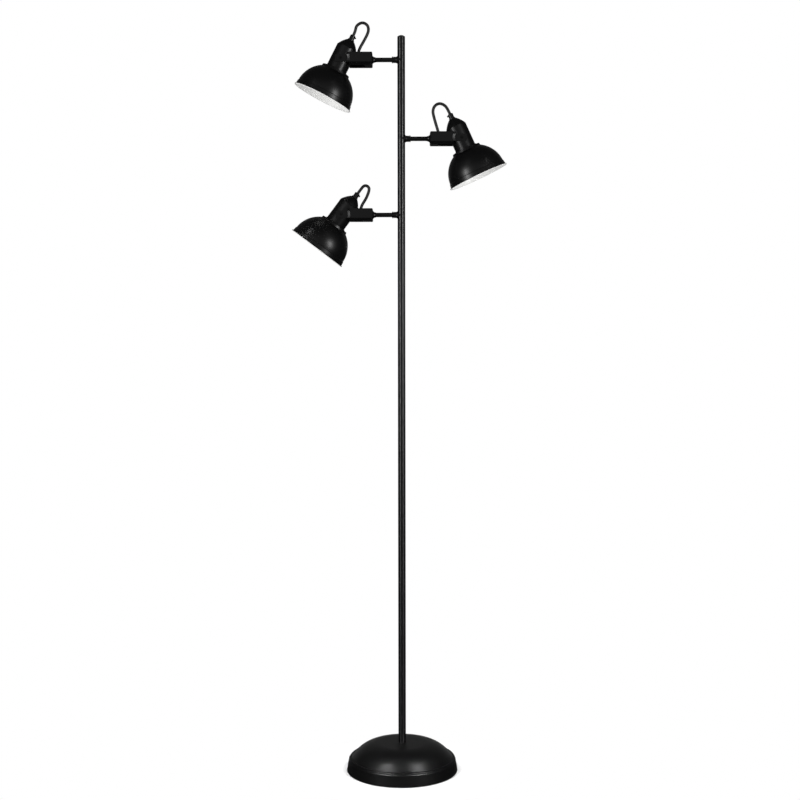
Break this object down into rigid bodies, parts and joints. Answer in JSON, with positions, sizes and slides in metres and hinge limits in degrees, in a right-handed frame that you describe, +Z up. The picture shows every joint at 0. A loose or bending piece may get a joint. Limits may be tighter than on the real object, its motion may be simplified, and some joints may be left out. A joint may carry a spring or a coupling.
{
  "type": "tree floor lamp",
  "caption": "Floor lamp with a weighted round base, a slim pole and spotlight heads on short side arms; each arm swivels and each bowl shade tilts in a fork",
  "frame": {"origin": "on the floor, under the pole's axis", "axes": "+Z up along the pole, front is -Y, the arms run along X"},
  "size_m": [0.4776, 0.2526, 1.6828],
  "materials": {
    "black_enamel": "satin black enamel",
    "shade_enamel": "satin black enamel outside, white enamel inside",
    "black_screws": "blackened steel",
    "zinc_steel": "zinc plated",
    "spring_steel": "plain spring steel",
    "cast_iron": "rough cast, painted grey",
    "pad_rubber": "matte black sheet",
    "black_rubber": "matte black",
    "fibre": "red-brown fibre",
    "black_flex": "smooth black sheath",
    "black_resin": "moulded black resin",
    "brass_contacts": "bright stamped brass"
  },
  "bodies": {
    "stand": {"base_cover": "black_enamel", "base_weight": "cast_iron", "base_pad": "pad_rubber", "cord_inlet_grommet": "black_rubber", "base_nipple": "zinc_steel", "base_nut": "zinc_steel", "pole_lower": "black_enamel", "pole_middle": "black_enamel", "pole_upper": "black_enamel", "pole_joiner_lower": "zinc_steel", "pole_joiner_upper": "zinc_steel", "pole_cap": "black_enamel", "arm_stub_1": "black_enamel", "arm_stub_2": "black_enamel", "arm_stub_3": "black_enamel"},
    "arm_1": {"arm_rod_1": "black_enamel", "swivel_clip_1": "spring_steel", "rod_collar_1": "black_enamel", "rod_nut_1": "zinc_steel", "fork_housing_1": "black_enamel", "friction_washers_1": "fibre", "flex_1": "black_flex"},
    "head_1": {"pivot_screws_1": "black_screws", "cup_1": "black_enamel", "cup_cap_1": "black_enamel", "cord_grip_1": "black_enamel", "shade_1": "shade_enamel", "shade_ring_1": "black_resin", "lampholder_1": "black_resin", "holder_contacts_1": "brass_contacts"},
    "arm_2": {"arm_rod_2": "black_enamel", "swivel_clip_2": "spring_steel", "rod_collar_2": "black_enamel", "rod_nut_2": "zinc_steel", "fork_housing_2": "black_enamel", "friction_washers_2": "fibre", "flex_2": "black_flex"},
    "head_2": {"pivot_screws_2": "black_screws", "cup_2": "black_enamel", "cup_cap_2": "black_enamel", "cord_grip_2": "black_enamel", "shade_2": "shade_enamel", "shade_ring_2": "black_resin", "lampholder_2": "black_resin", "holder_contacts_2": "brass_contacts"},
    "arm_3": {"arm_rod_3": "black_enamel", "swivel_clip_3": "spring_steel", "rod_collar_3": "black_enamel", "rod_nut_3": "zinc_steel", "fork_housing_3": "black_enamel", "friction_washers_3": "fibre", "flex_3": "black_flex"},
    "head_3": {"pivot_screws_3": "black_screws", "cup_3": "black_enamel", "cup_cap_3": "black_enamel", "cord_grip_3": "black_enamel", "shade_3": "shade_enamel", "shade_ring_3": "black_resin", "lampholder_3": "black_resin", "holder_contacts_3": "brass_contacts"}
  },
  "joints": [
    {"name": "swivel_1", "type": "hinge", "parent": "stand", "child": "arm_1", "pos_m": [-0.017, 0, 1.599], "axis": [-1, 0, 0], "range_deg": [-170, 170]},
    {"name": "tilt_1", "type": "hinge", "parent": "arm_1", "child": "head_1", "pos_m": [-0.133, 0, 1.599], "axis": [0, 1, 0], "range_deg": [-35, 50], "deforming": ["flex_1"]},
    {"name": "swivel_2", "type": "hinge", "parent": "stand", "child": "arm_2", "pos_m": [0.017, 0, 1.426], "axis": [1, 0, 0], "range_deg": [-170, 170]},
    {"name": "tilt_2", "type": "hinge", "parent": "arm_2", "child": "head_2", "pos_m": [0.133, 0, 1.426], "axis": [0, -1, 0], "range_deg": [-32, 53], "deforming": ["flex_2"]},
    {"name": "swivel_3", "type": "hinge", "parent": "stand", "child": "arm_3", "pos_m": [-0.017, 0, 1.258], "axis": [-1, 0, 0], "range_deg": [-170, 170]},
    {"name": "tilt_3", "type": "hinge", "parent": "arm_3", "child": "head_3", "pos_m": [-0.133, 0, 1.258], "axis": [0, 1, 0], "range_deg": [-45, 40], "deforming": ["flex_3"]}
  ]
}
